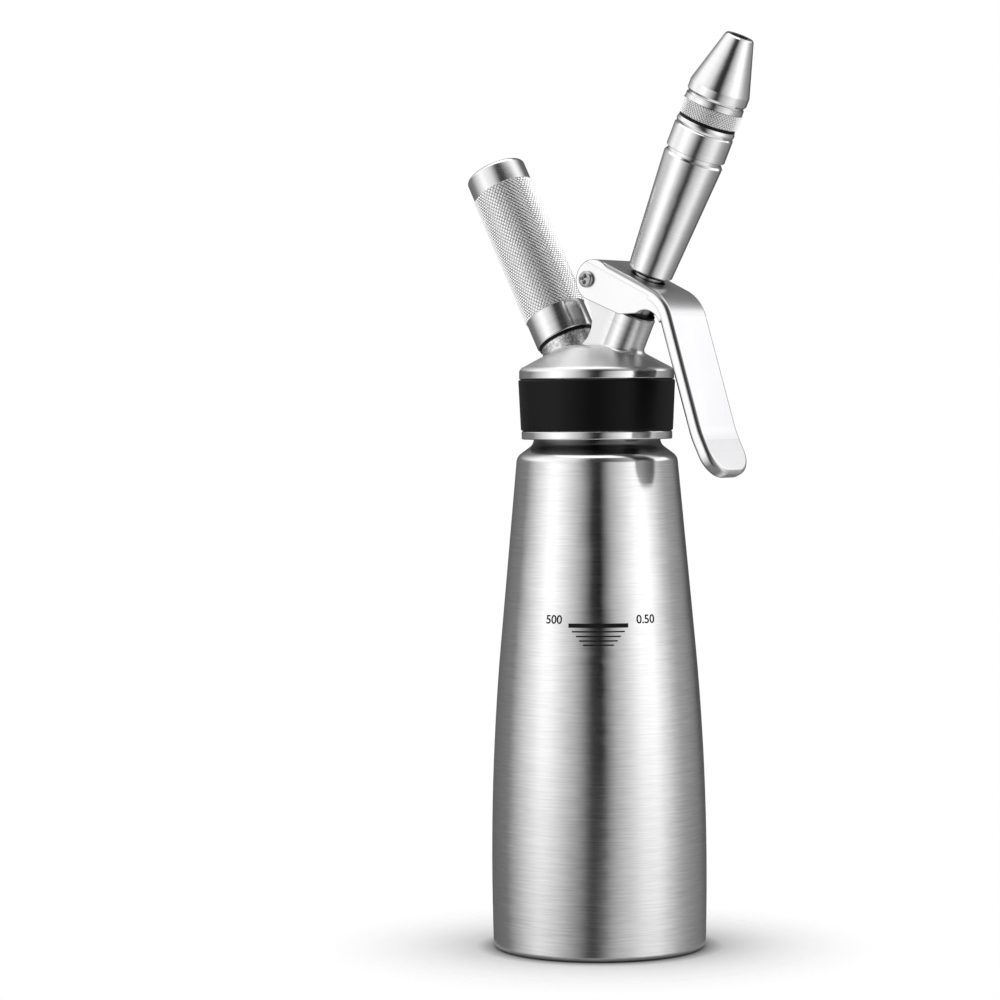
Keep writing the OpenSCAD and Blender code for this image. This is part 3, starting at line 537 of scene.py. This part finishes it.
def add_screw():
    """Pan-head pivot screw with a cross recess that narrows towards its bottom."""
    face, head_r, head_h, pan, shank = 12.1, 3.0, 1.5, 1.05, 1.8
    tail, tail_edge, steps = 3, 0.3, 64
    arm_half, arm_len, recess_depth, narrowing, recess_turn = 0.5, 1.5, 1.3, 0.75, math.radians(20)
    above = 0.1
    low = -face - tail
    body = [(0, low), (shank - tail_edge, low), (shank, low + tail_edge), (shank, face), (head_r, face)]
    head = rounding((head_r - pan, face + head_h - pan), pan, 0, 90, 8) + [(0, face + head_h)]
    shape = bmesh.new()
    turn_round(shape, body + head, steps)
    screw = new_piece("cross_screw", shape, PIVOT, plain_steel, "lever")
    recess = bmesh.new()
    bmesh.ops.create_grid(recess, x_segments=1, y_segments=1, size=arm_half)
    for edge in recess.edges[:]:
        out = (edge.verts[0].co + edge.verts[1].co).normalized()
        arm = bmesh.ops.extrude_edge_only(recess, edges=[edge])["geom"]
        bmesh.ops.translate(recess, verts=points_of(arm), vec=out * arm_len)
    low_corners = points_of(bmesh.ops.extrude_face_region(recess, geom=recess.faces[:])["geom"])
    bmesh.ops.scale(recess, verts=low_corners, vec=(narrowing, narrowing, 1))
    bmesh.ops.translate(recess, verts=low_corners, vec=(0, 0, -recess_depth))
    lift = Matrix.Translation((0, 0, (face + head_h + above) * MM))
    aim = PIVOT @ lift @ Matrix.Rotation(recess_turn, 4, "Z")
    cutter = new_piece("cross_recess", recess, aim, plain_steel, "lever")
    cut = screw.modifiers.new("recess", "BOOLEAN")
    cut.operation = "DIFFERENCE"
    cut.solver = "EXACT"
    cut.object = cutter
    screw.data = flattened(screw)
    screw.modifiers.clear()
    bpy.data.objects.remove(cutter)
    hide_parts("pivot_screw")


def add_spring():
    """Return spring of round wire, made at rest; it is not made to shorten as the stem goes down."""
    seat, shoulder, wire, radius, turns = 18.0, 31.2, 1.0, 4.6, 5
    gap, travel, sides = 0.05, 2.23, 14
    low, high = seat + wire / 2 + gap, shoulder - wire / 2 - gap
    shape = bmesh.new()
    bmesh.ops.create_circle(shape, cap_ends=True, segments=sides, radius=wire / 2, matrix=Matrix((
        (1, 0, 0, radius), (0, 0, -1, 0), (0, 1, 0, low), (0, 0, 0, 1))))
    wind(shape, turns, high - low)
    spring = new_piece("coil_spring", shape, VALVE, plain_steel, "head")
    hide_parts("return_spring")
    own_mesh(spring)


def add_thread(name, place, radius, crest, half_width, low, high, pitch, finish, body):
    """Ridge of a screw thread on a plain spigot, with its foot sunk a little in the metal."""
    sink = 0.12
    # A triangle in a circle of radius 1 is 1.5 deep
    reach = (crest + sink) / 1.5
    shape = bmesh.new()
    bmesh.ops.create_circle(shape, cap_ends=True, segments=3, radius=1.0, matrix=Matrix((
        (0, reach, 0, radius + crest - reach), (0, 0, 1, 0), (half_width, 0, 0, low), (0, 0, 0, 1))))
    wind(shape, (high - low) / pitch, high - low)
    new_piece(name, shape, place, finish, body)


def add_number(name, text, turn, rise):
    """Plain number printed on the bottle beside the fill mark, bent round it."""
    letters = bpy.data.curves.new(name, "FONT")
    letters.body = text
    letters.size = 4.3
    letters.extrude = 0.03
    letters.offset = 0.07
    letters.align_x = "CENTER"
    carrier = bpy.data.objects.new(name, letters)
    bpy.context.scene.collection.objects.link(carrier)
    flat = flattened(carrier)
    bpy.data.objects.remove(carrier)
    shape = bmesh.new()
    shape.from_mesh(flat)
    for point in shape.verts:
        across, up, out = point.co
        radius = FILL_RADIUS - (rise + up) * math.tan(FILL_SLOPE) + out
        angle = FILL_TURN + math.radians(turn) + across / radius
        point.co = (radius * math.cos(angle), radius * math.sin(angle), FILL_Z / MM + rise + up)
    new_piece(name, shape, UPRIGHT, black_plastic, "bottle")


add_holder()
add_collar()
add_screw()
add_spring()
add_thread("neck_thread", UPRIGHT, radius=23.0, crest=0.28, half_width=0.9, low=188.0, high=200.5, pitch=3.0,
           finish=bottle_steel, body="bottle")
add_thread("inlet_thread", HOLDER, radius=8.6, crest=0.5, half_width=0.5, low=30.2, high=37.2, pitch=1.4,
           finish=head_steel, body="head")
add_thread("tip_thread", VALVE, radius=7.0, crest=0.26, half_width=0.36, low=114.6, high=121.6, pitch=1.0,
           finish=nozzle_steel, body="valve")
add_number("fill_number_left", "500", turn=-27.2, rise=0.6)
add_number("fill_number_right", "0.50", turn=29.2, rise=0.6)


# Camera, floor and light

def add_camera():
    camera = bpy.data.objects.new("camera", bpy.data.cameras.new("camera"))
    bpy.context.scene.collection.objects.link(camera)
    camera.data.lens = LENS
    camera.data.sensor_width = SENSOR
    camera.data.clip_start = 0.05
    camera.location = CAMERA_AT
    turn = Matrix.Rotation(CAMERA_TURN, 4, "Z")
    dip = Matrix.Rotation(math.pi / 2 + CAMERA_DIP, 4, "X")
    lean = Matrix.Rotation(CAMERA_LEAN, 4, "Z")
    camera.rotation_euler = (turn @ dip @ lean).to_euler()
    bpy.context.scene.camera = camera


def stage_piece(name, shape, material):
    mesh = bpy.data.meshes.new(name)
    shape.to_mesh(mesh)
    shape.free()
    mesh.materials.append(material)
    piece = bpy.data.objects.new(name, mesh)
    bpy.context.scene.collection.objects.link(piece)
    return piece


def add_floor():
    """Pale round floor with a painted shadow round the foot, that fades into the white. Metal mirrors it only
    at the foot.
    """
    foot, inner, outer = 0.037, 0.045, 0.1
    mirrored_inner, mirrored_outer = 0.04, 0.045
    foot_shadow_tone, open_tone, glow_share = grey(0.22), grey(0.78), 0.6
    shape = bmesh.new()
    bmesh.ops.create_circle(shape, cap_ends=True, segments=96, radius=outer)
    material, look = new_finish("floor")
    x, y = look.split(look.point())[:2]
    away = x.length_with(y)
    # Painted shadow: the floor's colour goes dark towards the foot.
    tone = look.tint(away.share(foot, inner), foot_shadow_tone, open_tone)
    diffuse = look.add("ShaderNodeBsdfDiffuse", {}, {"Color": tone})
    glow = look.add("ShaderNodeEmission", {}, {"Strength": 1.0})
    clear = look.add("ShaderNodeBsdfTransparent")
    mirrored = look.add("ShaderNodeLightPath", output="Is Glossy Ray")
    lit = look.add("ShaderNodeMixShader", {}, {0: away.share(inner, outer) * glow_share, 1: diffuse, 2: glow})
    fade = away.share(inner, outer).most(mirrored * away.share(mirrored_inner, mirrored_outer))
    faded = look.add("ShaderNodeMixShader", {}, {0: fade, 1: lit, 2: clear})
    look.add("ShaderNodeOutputMaterial", {}, {"Surface": faded})
    stage_piece("floor", shape, material)


# Brightness of the studio's wall by the angle from the camera, right of it positive, in degrees: a dark panel
# behind the camera with a bright one on each side, and dim towards the back. The lists are for below the
# object's level, at it and above it.
WALL_UNDER = (
    (-180, 0.1), (-115, 0.25), (-70, 1.2), (-50, 0.9), (-12, 0.06), (-4, 0.06), (15, 0.65), (50, 1.2),
    (65, 1.25), (92, 0.62), (115, 0.36), (180, 0.1),
)
WALL_LEVEL = (
    (-180, 0.1), (-115, 0.3), (-66, 1.6), (-56, 1.55), (-25, 0.65), (-7, 0.05), (4, 0.0), (18, 0.6),
    (50, 1.55), (66, 1.65), (92, 0.75), (105, 0.5), (130, 0.32), (150, 0.1), (180, 0.1),
)
WALL_ABOVE = (
    (-180, 0.1), (-145, 0.5), (-105, 1.45), (-65, 1.45), (-36, 1.1), (-10, 0.05), (10, 0.05), (50, 0.5),
    (86, 1.5), (100, 1.4), (130, 0.2), (180, 0.1),
)


def wall_place(angle, whole=360):
    """Place of an angle from the camera on a scale from 0 to 1 round the wall, with 0.5 at the camera."""
    return angle / whole + 0.5


def add_wall():
    """Round studio wall of light and dark panels. It shows only in the metal and by the light it gives."""
    radius, low, high = 1.75, -1.9, 3.2
    level_low, level_full, level_high, above_full = -0.4, 0.0, 0.48, 0.75
    window_turn, window_half, window_core = 108, 22 / 360, 15 / 360
    window_low, window_full, window_top, window_end = 0.5, 0.62, 1.05, 1.2
    window_light = grey(1.6)
    shape = bmesh.new()
    bmesh.ops.create_cone(shape, cap_ends=False, segments=96, radius1=radius, radius2=radius,
                          depth=high - low, matrix=Matrix.Translation((0, 0, (high + low) / 2)))
    material, look = new_finish("studio_wall")
    toward_camera = Matrix.Rotation(math.atan2(CAMERA_AT[1], CAMERA_AT[0]), 4, "Z")
    x, y, z = look.split(look.point(toward_camera))
    turn = wall_place(y.angle_to(x), FULL_TURN)
    ramps = []
    for stops in (WALL_UNDER, WALL_LEVEL, WALL_ABOVE):
        placed = [(wall_place(angle), light) for angle, light in stops]
        ramps.append(look.add("ShaderNodeValToRGB", {"stops": placed}, {"Fac": turn}))
    under, level, above = ramps
    lower = look.tint(z.share(level_low, level_full), under, level)
    light = look.tint(z.share(level_high, above_full), lower, above)
    window = ((turn - wall_place(window_turn)).size().share(window_half, window_core)
              * z.share(window_low, window_full) * z.share(window_end, window_top))
    panels = look.tint(window, light, window_light)
    glow = look.add("ShaderNodeEmission", {}, {"Color": panels, "Strength": 1.0})
    look.add("ShaderNodeOutputMaterial", {}, {"Surface": glow})
    wall = stage_piece("studio_wall", shape, material)
    wall.visible_camera = False
    wall.visible_shadow = False


def add_world():
    """White for the camera and in the metal, and a little less as light."""
    as_light, more_if_shown = 0.7, 0.3
    world = bpy.data.worlds.new("studio")
    bpy.context.scene.world = world
    world.use_nodes = True
    look = Finish(world.node_tree)
    seen, mirrored, through = [look.add("ShaderNodeLightPath", output=name)
                               for name in ("Is Camera Ray", "Is Glossy Ray", "Is Transmission Ray")]
    shown = seen.most(mirrored).most(through)
    strength = as_light + shown * more_if_shown
    light = look.add("ShaderNodeBackground", {}, {"Color": (1, 1, 1, 1), "Strength": strength})
    look.add("ShaderNodeOutputWorld", {}, {"Surface": light})


def add_softbox():
    """Wide softbox above the object."""
    lamp = bpy.data.lights.new("top_softbox", "AREA")
    lamp.shape = "DISK"
    lamp.size = 2.0
    lamp.energy = 11.0
    softbox = bpy.data.objects.new("top_softbox", lamp)
    bpy.context.scene.collection.objects.link(softbox)
    softbox.location = (0, 0, 1.7)
    softbox.visible_camera = False


add_camera()
add_world()
add_wall()
add_floor()
add_softbox()

bpy.context.scene.view_settings.view_transform = "Standard"
